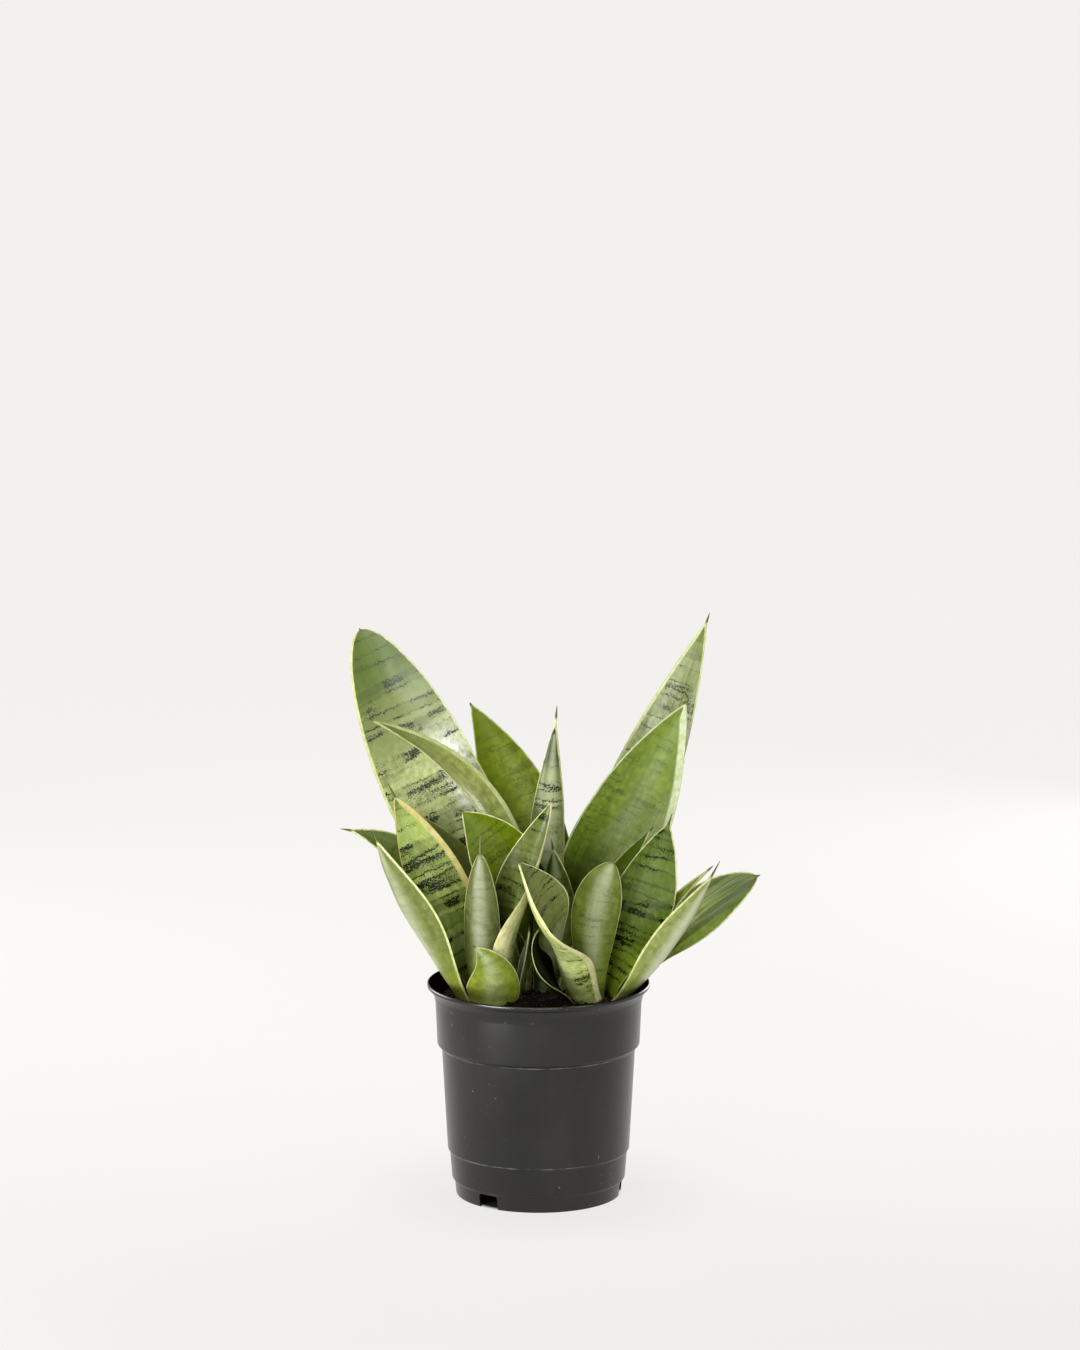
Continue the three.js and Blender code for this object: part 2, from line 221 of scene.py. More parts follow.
LEAVES = {
    "back": [
        Leaf(142, 13.5, (-53, 57, 206), (-98, 74, 297), 58, "broad",
             base=0.25, widest=0.55, point=0.52, cup=24, tip_cup=18, twist=-62, awl=1),
        Leaf(160, 11, (-29, 38, 202), (-95, 48, 252), 31, "olive", base=0.34, cup=46, twist=-10),
        Leaf(90, 13.2, (-6, 72, 180), (-38, 94, 252), 46, "spring", base=0.18, cup=32, awl=1),
        Leaf(278, 2.6, (4.7, 35.7, 184), (10, 36.5, 261), 23.4, "awl_leaf",
             base=0.32, point=1.1, cup=52, awl=6),
        Leaf(45, 13.2, (53, 68, 194.5), (94, 92, 302.5), 46, "outer",
             base=0.22, widest=0.42, cup=40, twist=15),
        Leaf(44, 9, (43.3, 46.5, 186), (82, 54, 262), 52, "shield",
             base=0.18, widest=0.5, twist=50, awl=3),
        Leaf(34, 15.9, (53, 65, 168), (80, 78, 222), 23, "shaded", base=0.36, twist=10),
        Leaf(-46, 15.2, (32.2, 22.2, 149), (62, 27, 196), 24, "shade_darkened", base=0.32, twist=80, awl=2),
        Leaf(222, 16.5, (-38, 27, 166), (-73, 28, 207), 34, "grey", base=0.36, twist=-70),
        Leaf(195, 8, (-13, 17.3, 165), (-43, 12, 209), 38.5, "vivid",
             base=0.16, widest=0.65, twist=-88, awl=2),
        Leaf(268, 11, (9, 11, 150), (7, 9, 193), 25, "shaded", base=0.44),
        Leaf(88, 16, (2, 72, 152), (0, 96, 192), 30, "plain", base=0.36),
        Leaf(135, 16.2, (-26, 65, 150), (-48, 92, 188), 28, "plain", base=0.36),
    ],
    "left": [
        Leaf(150, 8, (-54, 3, 165), (-81, 8, 224), 37, "banded",
             base=0.45, cup=30, twist=-38, point=0.8, awl=8),
        Leaf(132, 15, (-60, 20, 169), (-107, 22, 196), 25, "side", base=0.45, twist=-30),
        Leaf(195, 12, (-66, -11, 150), (-88, -14, 202), 36, "pale_back", base=0.5, cup=50, twist=25),
        Leaf(275, 16, (-24.6, -24.3, 127), (-35, -27, 142.5), 31, "low_heart",
             base=0.78, widest=0.22, point=1, awl=1),
        Leaf(258, 8, (-31, -12, 150), (-31, -15, 202), 22, "silvered", base=0.6, point=0.6, awl=12),
        Leaf(328, 12, (-9.3, -8.9, 158.2), (8, -4, 218.4), 43, "cream_back",
             base=0.46, cup=68, tip_cup=35, twist=62, awl=2),
        Leaf(2, 16, (-7, -6, 126), (-5, -9, 149), 18, "shaded", base=0.6, awl=2),
        Leaf(80, 4, (-28, 4, 135), (-28, 5, 160), 12, "silvered", base=0.6, awl=3),
    ],
    "right": [
        Leaf(25, 8.5, (55, 7, 155), (72, 14, 206), 38, "jagged",
             base=0.36, cup=30, twist=60, point=0.8, awl=6),
        Leaf(240, 11.5, (4.7, -23.7, 149), (-11, -39.4, 192.5), 50, "folded",
             base=0.4, widest=0.58, cup=66, tip_cup=40, twist=-80, awl=2),
        Leaf(266, 6, (30.5, -8, 155), (45, -5, 191), 28, "heart",
             base=0.35, widest=0.66, point=0.6, awl=9),
        Leaf(207, 13.8, (-1, -15, 129), (1, -11, 148.5), 28, "dark",
             base=0.28, widest=0.45, cup=46, twist=-38, awl=1),
        Leaf(326, 12, (66, -13, 134), (97, -14, 186), 27, "chalky",
             base=0.5, cup=44, twist=-15, awl=9),
        Leaf(20, 11.8, (66, 8, 147), (94, 6, 179), 15, "lime", base=0.6, awl=3),
        Leaf(20, 14.1, (81, 15, 146), (120, 20, 171), 28, "streaked",
             base=0.32, widest=0.58, point=0.6, twist=60, awl=2),
        Leaf(110, 3, (29, 7, 142), (24, 9, 172), 14, "silvered", base=0.6, awl=3),
    ],
}


# ---- settings ----
def distance(name, description, default, low, high):
    return FloatProperty(
        name=name, description=description, default=default, min=low, max=high,
        subtype="DISTANCE", unit="LENGTH",
    )


def tint(name, description, default):
    return FloatVectorProperty(
        name=name, description=description, default=default, min=0, max=1, size=3, subtype="COLOR",
    )


def watts(name, description, default):
    return FloatProperty(name=name, description=description, default=default, min=0, max=500, unit="POWER")


class PotSettings(bpy.types.PropertyGroup):
    """Sizes and colour of the nursery pot."""

    rim_radius: distance("Lip Radius", "Radius of the lip's outside", POT_HIGH.x, 0.02, 0.2)
    height: distance("Height", "From the table to the top of the lip", POT_HIGH.z, 0.03, 0.3)
    wall: distance("Wall", "Thickness of the moulded wall", 1.5 * MM, 0.0005, 0.004)
    edge_radius: distance("Edge Radius", "Rounding of the steps and of the lip", 0.45 * MM, 0.0001, 0.001)
    plastic: tint("Plastic", "Colour of the plastic", srgb(16, 16, 15))
    dust: tint("Dust", "Colour of scuffs and dried soil on the wall", srgb(150, 142, 128))


class SoilSettings(bpy.types.PropertyGroup):
    """The potting mix and what lies on it."""

    crumbs: IntProperty(
        name="Crumbs", description="Number of loose crumbs on the surface", default=900, min=0, max=3000,
    )
    crumb_size: distance("Crumb Size", "Radius of the largest crumbs", 1.5 * MM, 0.0003, 0.004)
    roughness: distance("Lumps", "Height of the surface's lumps", 1.3 * MM, 0, 0.004)
    soil: tint("Soil", "Colour of the damp potting mix", srgb(24, 16, 10))
    fibre: tint("Fibre", "Colour of dry fibres and of the crowns", srgb(140, 104, 62))


class LeafSettings(bpy.types.PropertyGroup):
    """What all leaves have in common."""

    keel: distance("Keel", "Thickness along the middle at the foot of a leaf", 2.4 * MM, 0.001, 0.005)
    tip: distance("Tip", "Thickness along the middle near the tip", 1.3 * MM, 0.0006, 0.003)
    margin: distance("Margin", "Thickness just inside the margins", 0.7 * MM, 0.0003, 0.002)
    ripple: distance("Ripple", "How far the blade wanders from its smooth form", 0.5 * MM, 0, 0.002)
    cream: tint("Cream", "Colour of the margins", srgb(196, 202, 150))
    band: tint("Band", "Colour of the dark bands", srgb(20, 32, 4))
    bloom_and_sheen: tint("Bloom", "Colour of the silvery bloom", srgb(204, 209, 180))
    awl: tint("Awl", "Colour of the dry awl at a leaf's end", srgb(86, 94, 40))


class StageSettings(bpy.types.PropertyGroup):
    """The pale studio."""

    backdrop: tint("Backdrop", "Colour of the floor and backdrop", srgb(244, 242, 240))
    glow: FloatProperty(
        name="Glow", description="Brightness of the backdrop on its own", default=0.81, min=0, max=3,
    )
    key: watts("Key Light", "Power of the large light in front on the left", 19)
    top: watts("Top Light", "Power of the large light overhead", 7)
    side: watts("Side Lights", "Power of the panels on both sides", 7)
    fill: watts("Fill Lights", "Power of each of the low lights in front", 8)
    low: FloatProperty(
        name="Low Light", description="Power of the small light near the floor on the left",
        default=1.4, min=0, max=50, unit="POWER",
    )
    ambient: FloatProperty(
        name="Ambient", description="Strength of the light from all around", default=0.06, min=0, max=3,
    )


class SnakePlantSettings(bpy.types.PropertyGroup):
    """All settings of the plant."""

    pot: PointerProperty(type=PotSettings)
    soil: PointerProperty(type=SoilSettings)
    leaves: PointerProperty(type=LeafSettings)
    stage: PointerProperty(type=StageSettings)


# ---- helpers for meshes ----
def mix(a, b, share):
    return a + (b - a) * share


def ease(share):
    t = min(1, max(0, share))
    return t * t * (3 - 2 * t)


def around_axis(bearing, radius):
    angle = math.radians(bearing)
    return Vector((radius * math.cos(angle), radius * math.sin(angle), 0))


def add_piece(name, bm, material, slot=None, smooth_angle=None):
    """Turns a bmesh into an object, which rides on the plant when it is given a slot, and frees the bmesh."""
    mesh = bpy.data.meshes.new(name)
    bm.to_mesh(mesh)
    bm.free()
    mesh.materials.append(material)
    mesh.shade_smooth()
    if smooth_angle is not None:
        mesh.set_sharp_from_angle(angle=math.radians(smooth_angle))
    piece = bpy.data.objects.new(name, mesh)
    bpy.context.scene.collection.objects.link(piece)
    if slot:
        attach(piece, "root")
    return piece


def weld(bm, reach=WELD_REACH):
    bmesh.ops.remove_doubles(bm, verts=bm.verts, dist=reach)


def rounded(bm, geom, radius, segments, affect="EDGES"):
    bmesh.ops.bevel(
        bm, geom=geom, offset=radius, offset_type="OFFSET", segments=segments, profile=0.5,
        affect=affect, clamp_overlap=True, material=-1,
    )


def lathe(bm, profile, steps, edge_radius=0.0):
    """Turns a profile of (radius, height) points, in metres, from one end on the axis to the other."""
    verts = [bm.verts.new((radius, 0, height)) for radius, height in profile]
    edges = [bm.edges.new(pair) for pair in zip(verts, verts[1:])]
    if edge_radius:
        rounded(bm, verts[1:-1] + edges, edge_radius, 3, "VERTICES")
    bmesh.ops.spin(
        bm, geom=bm.verts[:] + bm.edges[:], cent=(0, 0, 0), axis=(0, 0, 1), angle=math.tau,
        steps=steps, use_merge=True, use_duplicate=False,
    )
    weld(bm)
    bmesh.ops.recalc_face_normals(bm, faces=bm.faces)


def cut(piece, cutter):
    """Takes one closed mesh out of another for good, and removes the cutter."""
    modifier = piece.modifiers.new("Cut", "BOOLEAN")
    modifier.operation = "DIFFERENCE"
    modifier.solver = "EXACT"
    modifier.object = cutter
    evaluated = piece.evaluated_get(bpy.context.evaluated_depsgraph_get())
    done = bpy.data.meshes.new_from_object(evaluated)
    piece.modifiers.clear()
    bm = bmesh.new()
    bm.from_mesh(done)
    weld(bm)
    bm.to_mesh(done)
    bm.free()
    piece.data = done
    bpy.data.objects.remove(cutter)


# ---- helpers for materials ----
class Graph:
    """Adds nodes to a tree and joins them, so that a pattern reads from top to bottom."""

    def __init__(self, tree):
        self.tree = tree

    def put(self, socket, value):
        if isinstance(value, bpy.types.NodeSocket):
            self.tree.links.new(value, socket)
        elif value is not None:
            size = len(value) if hasattr(value, "__len__") else 0
            socket.default_value = (*value, 1) if size == 3 and socket.type == "RGBA" else value

    def node(self, kind, settings=None, **inputs):
        node = self.tree.nodes.new(kind)
        for key, value in (settings or {}).items():
            setattr(node, key, value)
        for key, value in inputs.items():
            self.put(node.inputs[key.replace("_", " ")], value)
        return node

    def math(self, operation, a, b=None, c=None):
        node = self.node("ShaderNodeMath", {"operation": operation})
        for socket, value in zip(node.inputs, (a, b, c)):
            self.put(socket, value)
        return node.outputs[0]

    def times(self, first, *others):
        for other in others:
            first = self.math("MULTIPLY", first, other)
        return first

    def away(self, value, centre):
        """How far a value is from another, on either side."""
        return self.math("ABSOLUTE", self.math("SUBTRACT", value, centre))

    def sway(self, pattern, amount, base):
        """A base value that a pattern about 0.5 moves up and down."""
        return self.math("MULTIPLY_ADD", self.math("SUBTRACT", pattern, 0.5), amount, base)

    def part(self, vector, axis):
        return self.node("ShaderNodeSeparateXYZ", Vector=vector).outputs[axis]

    def length(self, vector):
        return self.node("ShaderNodeVectorMath", {"operation": "LENGTH"}, Vector=vector).outputs["Value"]

    def surface(self, shader, colour, roughness, height, strength, depth):
        """Joins a finished look to a shader, with a height in the pattern as relief."""
        bump = self.node("ShaderNodeBump", Height=height, Strength=strength, Distance=depth)
        self.put(shader["Base Color"], colour)
        self.put(shader["Roughness"], roughness)
        self.put(shader["Normal"], bump.outputs[0])

    def noise(self, vector, scale, detail=2, roughness=0.5):
        node = self.node(
            "ShaderNodeTexNoise", Vector=vector, Scale=scale, Detail=detail, Roughness=roughness,
        )
        return node.outputs["Fac"]

    def add(self, a, b):
        node = self.node("ShaderNodeVectorMath", {"operation": "ADD"})
        self.put(node.inputs[0], a)
        self.put(node.inputs[1], b)
        return node.outputs[0]

    def between(self, share, a, b):
        """A number between two others."""
        node = self.node("ShaderNodeMix", {"data_type": "FLOAT"}, Factor=share)
        self.put(node.inputs[2], a)
        self.put(node.inputs[3], b)
        return node.outputs[0]

    def step(self, value, low, high):
        """0 below low, 1 above high, and smooth between them; low may be the greater."""
        smooth = {"interpolation_type": "SMOOTHSTEP"}
        return self.node("ShaderNodeMapRange", smooth, Value=value, From_Min=low, From_Max=high).outputs[0]

    def blend(self, share, a, b, mode="MIX"):
        node = self.node("ShaderNodeMix", {"data_type": "RGBA", "blend_type": mode})
        self.put(node.inputs["Factor"], share)
        self.put(node.inputs[6], a)
        self.put(node.inputs[7], b)
        return node.outputs[2]

    def scaled(self, vector, factors):
        point = {"vector_type": "POINT"}
        return self.node("ShaderNodeMapping", point, Vector=vector, Scale=factors).outputs[0]

    def coordinates(self):
        return self.node("ShaderNodeTexCoord").outputs["Object"]

    def attribute(self, name):
        return self.node("ShaderNodeAttribute", {"attribute_name": name}).outputs["Fac"]


def new_group(name, inputs, outputs):
    """A node group, with the names of its sockets by kind. Returns its graph and its inputs by name."""
    tree = bpy.data.node_groups.new(name, "ShaderNodeTree")
    for direction, sockets in (("INPUT", inputs), ("OUTPUT", outputs)):
        for kind, labels in sockets.items():
            for label in labels:
                tree.interface.new_socket(label, in_out=direction, socket_type=f"NodeSocket{kind}")
    return Graph(tree), tree.nodes.new("NodeGroupInput").outputs


def use_group(graph, name, build, **inputs):
    """Places a shared group in a material, and builds the group the first time."""
    tree = bpy.data.node_groups.get(name) or build(name)
    return graph.node("ShaderNodeGroup", {"node_tree": tree}, **inputs).outputs


def new_material(name, colour=(0.5, 0.5, 0.5), **constants):
    """A material with a Principled shader. Returns it, its graph and the shader's sockets."""
    material = bpy.data.materials.new(name)
    material.use_nodes = True
    material.diffuse_color = (*colour, 1)
    shader = material.node_tree.nodes["Principled BSDF"].inputs
    for key, value in constants.items():
        shader[key.replace("_", " ")].default_value = value
    return material, Graph(material.node_tree), shader


# ---- shared patterns ----
def build_bands(name):
    """Broken, jagged dark lines across a leaf, and the broad soft bands that they lie in."""
    graph, given = new_group(
        name, {"Vector": ["Blade"], "Float": ["Seed"]}, {"Float": ["Lines", "Broad", "Mottle", "Streaks"]},
    )
    place = graph.node("ShaderNodeCombineXYZ", Z=given["Seed"]).outputs[0]
    blade = graph.add(given["Blade"], place)

    jag = graph.noise(graph.scaled(blade, (1.0, 0.25, 1)), 3.0, 6, 0.8)
    shift = graph.node("ShaderNodeCombineXYZ", Y=graph.times(jag, 0.55)).outputs[0]
    rows = graph.noise(graph.scaled(graph.add(blade, shift), (0.1, 1.3, 1)), 1.0, 1, 0.5)
    grain = graph.noise(graph.scaled(blade, (0.8, 1.2, 1)), 11.0, 3, 0.7)
    off_line = graph.away(rows, 0.5)
    ragged = graph.sway(grain, 0.2, off_line)
    thin = graph.step(ragged, 0.034, 0.008)
    faint = graph.times(graph.step(ragged, 0.07, 0.0), 0.3)
    patches = graph.step(graph.noise(graph.scaled(blade, (0.75, 0.5, 1.7)), 1.0, 2), 0.42, 0.53)
    lines = graph.math("MAXIMUM", graph.times(thin, patches), faint)
    halo = graph.times(graph.step(off_line, 0.16, 0.02), patches)
    specks = graph.step(graph.noise(graph.scaled(blade, (1.1, 1, 1)), 9.5, 3, 0.65), 0.56, 0.63)
    scattered = graph.times(specks, halo, 0.9)

    along = graph.noise(graph.scaled(blade, (4.5, 0.16, 1)), 1.0, 2, 0.55)
    graph.node(
        "NodeGroupOutput", Lines=graph.math("MAXIMUM", lines, scattered), Broad=graph.step(rows, 0.44, 0.6),
        Mottle=graph.noise(graph.scaled(blade, (1.0, 0.8, 1)), 3.0, 4, 0.6),
        Streaks=graph.step(along, 0.48, 0.62),
    )
    return graph.tree


def build_leaf_skin(name):
    """Colour, roughness and relief of a leaf, from its own attributes and UV map."""
    graph, given = new_group(
        name,
        {
            "Color": ["Face", "Back", "Tip", "Foot", "Cream", "Band", "Bloom", "Awl"],
            "Float": [
                "Seed", "Tip From", "Tip Over", "Foot To", "Face Bands", "Back Bands", "Face Left",
                "Face Right", "Back Left", "Back Right", "Silver", "Stripes", "Flash",
            ],
        },
        {"Color": ["Color"], "Float": ["Roughness", "Height"]},
    )
    blade = graph.node("ShaderNodeUVMap", {"uv_map": "Blade"}).outputs[0]
    across = graph.part(blade, "X")
    edge = graph.attribute("edge")
    inner = graph.attribute("inner")
    share = graph.attribute("share")
    awl = graph.attribute("awl")

    bands = use_group(graph, "Snake Bands", build_bands, Blade=blade, Seed=given["Seed"])
    is_face = graph.step(inner, -0.02, 0.02)
    is_right = graph.step(across, -0.1, 0.1)
    mottle = bands["Mottle"]

    ground = graph.blend(is_face, given["Back"], given["Face"])
    lighter = graph.blend(graph.step(mottle, 0.38, 0.68), (0.74, 0.8, 0.64), (1.12, 1.1, 1.14))
    ground = graph.blend(1.0, ground, lighter, "MULTIPLY")
    strength = graph.between(is_face, given["Back Bands"], given["Face Bands"])
    broad = graph.times(bands["Broad"], graph.times(strength, 0.45))
    ground = graph.blend(broad, ground, graph.blend(0.3, given["Tip"], ground))
    # towards the crown the leaf turns to its foot colour, which on the darker leaves is painted shade
    low = graph.times(graph.step(share, given["Foot To"], 0.05), 0.6)
    ground = graph.blend(low, ground, given["Foot"])
    past = graph.math("DIVIDE", graph.math("SUBTRACT", share, given["Tip From"]), given["Tip Over"])
    tip = graph.step(graph.sway(mottle, 0.5, past), 0.0, 1.0)
    ground = graph.blend(tip, ground, given["Tip"])

    from_keel = graph.times(graph.math("ABSOLUTE", across), 10.0)
    half = graph.math("ADD", from_keel, edge)
    from_keel = graph.math("DIVIDE", from_keel, half)
    # silvery bloom on the back, thickest along the keel: partly the leaf's own bloom, partly a painted sheen
    painted_sheen = graph.noise(graph.scaled(blade, (0.5, 0.25, 1)), 1.0, 2)
    painted_sheen = graph.times(graph.step(from_keel, 0.6, 0.05), graph.step(painted_sheen, 0.25, 0.5))
    back_only = graph.math("SUBTRACT", 1.15, is_face)
    bloom_and_sheen = graph.times(painted_sheen, back_only, given["Silver"])
    ground = graph.blend(bloom_and_sheen, ground, given["Bloom"])
    aside = graph.math("DIVIDE", graph.times(across, 10.0), half)
    off_side = graph.away(aside, 0.6)
    off_middle = graph.away(share, 0.56)
    # painted highlight: a whitish patch on the face, right of its middle, where the leaf would shine
    painted_highlight = graph.times(graph.step(off_side, 0.5, 0.1), graph.step(off_middle, 0.17, 0.04))
    painted_highlight = graph.times(painted_highlight, is_face, given["Flash"])
    painted_highlight = graph.times(painted_highlight, graph.step(mottle, 0.2, 0.6))
    ground = graph.blend(painted_highlight, ground, srgb(240, 242, 234))
    streaks = graph.times(bands["Streaks"], given["Stripes"])
    ground = graph.blend(streaks, ground, graph.blend(0.55, ground, given["Band"]))
    ground = graph.blend(graph.times(bands["Lines"], strength), ground, given["Band"])

    face_margin = graph.between(is_right, given["Face Left"], given["Face Right"])
    back_margin = graph.between(is_right, given["Back Left"], given["Back Right"])
    width = graph.between(is_face, back_margin, face_margin)
    wander = graph.sway(mottle, 0.9, edge)
    soft = graph.math("MULTIPLY_ADD", width, 0.3, 0.15)
    cream = graph.step(graph.math("SUBTRACT", wander, width), soft, -0.25)
    yellowed = graph.blend(1.0, given["Cream"], (0.82, 0.8, 0.62), "MULTIPLY")
    cream_tone = graph.blend(graph.step(mottle, 0.35, 0.65), given["Cream"], yellowed)
    ground = graph.blend(cream, ground, cream_tone)
    rim = graph.times(graph.step(edge, 0.25, 0.02), 0.45)
    ground = graph.blend(rim, ground, srgb(122, 104, 44))
    ground = graph.blend(awl, ground, given["Awl"])

    grain = graph.noise(graph.scaled(blade, (14, 0.8, 1)), 1.0, 2)
    pores = graph.noise(blade, 28.0, 2)
    height = graph.math("ADD", graph.times(grain, 0.6), graph.times(pores, 0.3))
    height = graph.math("ADD", height, graph.times(bands["Broad"], 0.35))
    rough = graph.math("MULTIPLY_ADD", mottle, 0.24, 0.24)
    graph.node("NodeGroupOutput", Color=ground, Roughness=rough, Height=height)
    return graph.tree


def build_wear(name):
    """Small scuffs, dust and splashes of dried soil. Reads Object coordinates."""
    graph, given = new_group(
        name, {"Vector": ["Place"], "Float": ["Amount"]}, {"Float": ["Specks", "Film", "Scratches"]},
    )
    place = given["Place"]
    specks = graph.step(graph.noise(place, 420.0, 2, 0.5), 0.70, 0.76)
    where = graph.step(graph.noise(place, 38.0, 2), 0.46, 0.66)
    film = graph.step(graph.noise(graph.scaled(place, (1, 1, 0.35)), 30.0, 4, 0.6), 0.42, 0.75)
    scratch = graph.noise(graph.scaled(place, (1, 1, 9)), 90.0, 1)
    graph.node(
        "NodeGroupOutput", Specks=graph.times(specks, where, given["Amount"]),
        Film=graph.times(film, given["Amount"]), Scratches=graph.step(scratch, 0.66, 0.74),
    )
    return graph.tree


# ---- materials ----
def leaf_material(name, skin, seed, settings):
    material, graph, shader = new_material(
        name, colour=srgb(*skin.face), Specular_IOR_Level=skin.gloss, Coat_Weight=0.35 * skin.gloss,
        Coat_Roughness=0.2,
    )
    looks = use_group(
        graph, "Leaf Skin", build_leaf_skin, Seed=seed,
        Face=srgb(*skin.face), Back=srgb(*skin.back), Tip=srgb(*skin.tip), Foot=srgb(*skin.foot),
        Cream=srgb(*skin.cream) if skin.cream else tuple(settings.cream), Band=tuple(settings.band),
        Bloom=tuple(settings.bloom_and_sheen), Awl=tuple(settings.awl), Tip_From=skin.tip_from,
        Tip_Over=skin.tip_over, Foot_To=skin.foot_to, Face_Bands=skin.bands, Back_Bands=skin.back_bands,
        Face_Left=skin.margins[0], Face_Right=skin.margins[1], Back_Left=skin.back_margins[0],
        Back_Right=skin.back_margins[1], Silver=skin.silver, Stripes=skin.stripes, Flash=skin.painted_highlight,
    )
    graph.surface(shader, looks["Color"], looks["Roughness"], looks["Height"], 0.25, 0.25 * MM)
    return material


def pot_material(settings):
    material, graph, shader = new_material("pot_plastic", colour=tuple(settings.plastic))
    place = graph.coordinates()
    wear = use_group(graph, "Wear", build_wear, Place=place, Amount=1.0)
    height = graph.part(place, "Z")
    cloudy = graph.noise(place, 22.0, 3, 0.55)
    base = graph.blend(graph.step(cloudy, 0.35, 0.7), settings.plastic, srgb(22, 22, 20))
    foot = graph.times(graph.step(height, 26 * MM, 4 * MM), 0.5)
    base = graph.blend(foot, base, srgb(24, 22, 17))
    base = graph.blend(graph.times(wear["Film"], 0.025), base, settings.dust)
    base = graph.blend(graph.times(wear["Specks"], 0.6), base, settings.dust)
    rubbed_and_lit = graph.step(graph.noise(place, 60.0, 3, 0.7), 0.4, 0.62)
    # pale lines at the two steps: rubbed edges, and a painted highlight where the rounded edge catches the
    # light from above
    for edge_height in (COLLAR_HEIGHT - 0.8, RIB_HEIGHT + 0.5):
        off_edge = graph.away(height, edge_height * MM)
        line = graph.times(graph.step(off_edge, 0.45 * MM, 0.15 * MM), rubbed_and_lit)
        base = graph.blend(graph.times(line, 0.3), base, srgb(160, 160, 156))
    middle = graph.scaled(place, (1, 1, 0))
    from_axis = graph.length(middle)
    below_lip = graph.math("SUBTRACT", POT_HIGH.z, height)
    flare = graph.math("MULTIPLY_ADD", below_lip, 0.5, from_axis)
    # 1 on the inside of the lip and the wall above the soil: brown with soil, and without shine, which paints
    # the shade inside the lip
    soiled_and_shaded_inside = graph.step(flare, POT_HIGH.x - 0.45 * MM, POT_HIGH.x - 0.9 * MM)
    soiled_and_shaded_inside = graph.times(soiled_and_shaded_inside, graph.step(height, 95 * MM, 100 * MM))
    base = graph.blend(soiled_and_shaded_inside, base, srgb(20, 15, 10))
    rough = graph.math("MULTIPLY_ADD", cloudy, 0.16, 0.2)
    rough = graph.math("ADD", rough, graph.times(wear["Specks"], 0.3))
    rough = graph.between(soiled_and_shaded_inside, rough, 0.75)
    graph.put(shader["Specular IOR Level"], graph.between(soiled_and_shaded_inside, 0.65, 0.0))
    relief = graph.math("MULTIPLY_ADD", wear["Scratches"], 0.4, graph.noise(place, 900.0, 2))
    graph.surface(shader, base, rough, relief, 0.1, 0.1 * MM)
    return material


def soil_material(settings):
    material, graph, shader = new_material(
        "potting_mix", colour=tuple(settings.soil), Specular_IOR_Level=0.2,
    )
    place = graph.coordinates()
    coarse = graph.noise(place, 160.0, 4, 0.65)
    base = graph.blend(graph.step(coarse, 0.4, 0.68), settings.soil, srgb(46, 32, 20))
    damp = graph.step(graph.noise(place, 45.0, 2), 0.4, 0.6)
    base = graph.blend(graph.times(damp, 0.5), base, srgb(16, 11, 8))
    bits = graph.step(graph.noise(graph.scaled(place, (1, 1.8, 1)), 520.0, 1), 0.68, 0.74)
    base = graph.blend(graph.times(bits, 0.6), base, settings.fibre)
    rough = graph.math("MULTIPLY_ADD", coarse, 0.25, 0.68)
    graph.surface(shader, base, rough, graph.noise(place, 700.0, 5, 0.7), 0.7, 0.6 * MM)
    return material


def crown_material(settings):
    material, graph, shader = new_material(
        "crown_fibre", colour=tuple(settings.fibre), Specular_IOR_Level=0.3,
    )
    place = graph.coordinates()
    strands = graph.noise(graph.scaled(place, (1, 1, 0.15)), 520.0, 3, 0.6)
    base = graph.blend(graph.step(strands, 0.38, 0.64), srgb(70, 50, 28), settings.fibre)
    stain = graph.step(graph.noise(place, 90.0, 3), 0.4, 0.62)
    base = graph.blend(graph.times(stain, 0.75), base, settings.soil)
    rough = graph.math("MULTIPLY_ADD", strands, 0.2, 0.65)
    graph.surface(shader, base, rough, strands, 0.6, 0.4 * MM)
    return material


def backdrop_material(settings):
    """Paper that glows a little, as evenly pale as in a bright studio, with a painted shadow under and round
    the pot and painted shade on the floor in front.
    """
    material, graph, shader = new_material(
        "backdrop_paper", colour=tuple(settings.backdrop), Specular_IOR_Level=0.0,
        Emission_Color=(*settings.backdrop, 1),
    )
    place = graph.coordinates()
    cloud = graph.noise(place, 1.1, 1)
    paper = graph.blend(graph.step(cloud, 0.4, 0.65), srgb(70, 69, 68), srgb(64, 63, 62))
    from_pot = graph.length(place)
    # painted shade: the glow is a little weaker on the floor in front, none under the pot as its painted
    # shadow, and a little weaker round it as a soft painted shadow
    painted_front_shade = graph.times(graph.step(graph.part(place, "Y"), 0.3, -0.35), 0.06)
    outside_pot_shadow = graph.step(from_pot, (FOOT_RADIUS - 5) * MM, (FOOT_RADIUS + 1) * MM)
    painted_contact_shadow = graph.times(graph.step(from_pot, 120 * MM, 45 * MM), 0.05)
    dimmer = graph.math("SUBTRACT", graph.math("SUBTRACT", 1.0, painted_contact_shadow), painted_front_shade)
    graph.put(shader["Emission Strength"], graph.times(outside_pot_shadow, dimmer, settings.glow))
    graph.put(shader["Base Color"], paper)
    graph.put(shader["Roughness"], graph.math("MULTIPLY_ADD", cloud, 0.1, 0.85))
    return material


# ---- the pot ----
POT_SHARP_ANGLE = 32  # degrees from which an edge stays sharp


def wall_outside(settings):
    """Radii of the wall's outside at the heights where it steps or bends, from the foot to the lip."""
    rim = settings.rim_radius / MM
    top = settings.height / MM
    return [
        (FOOT_RADIUS + 0.8, FOOT_HEIGHT - 0.6),
        (FOOT_RADIUS + 2.2, FOOT_HEIGHT + 0.6),
        (FOOT_RADIUS + 3.4, RIB_HEIGHT - 0.5),
        (FOOT_RADIUS + 4.5, RIB_HEIGHT + 0.5),
        (rim - 7.8, COLLAR_HEIGHT - 0.8),
        (rim - 5.4, COLLAR_HEIGHT + 1.2),
        (rim - 4.4, top - 10.5),
        (rim - 3.6, top - 6.5),
        (rim - 1.9, top - 3.5),
    ]


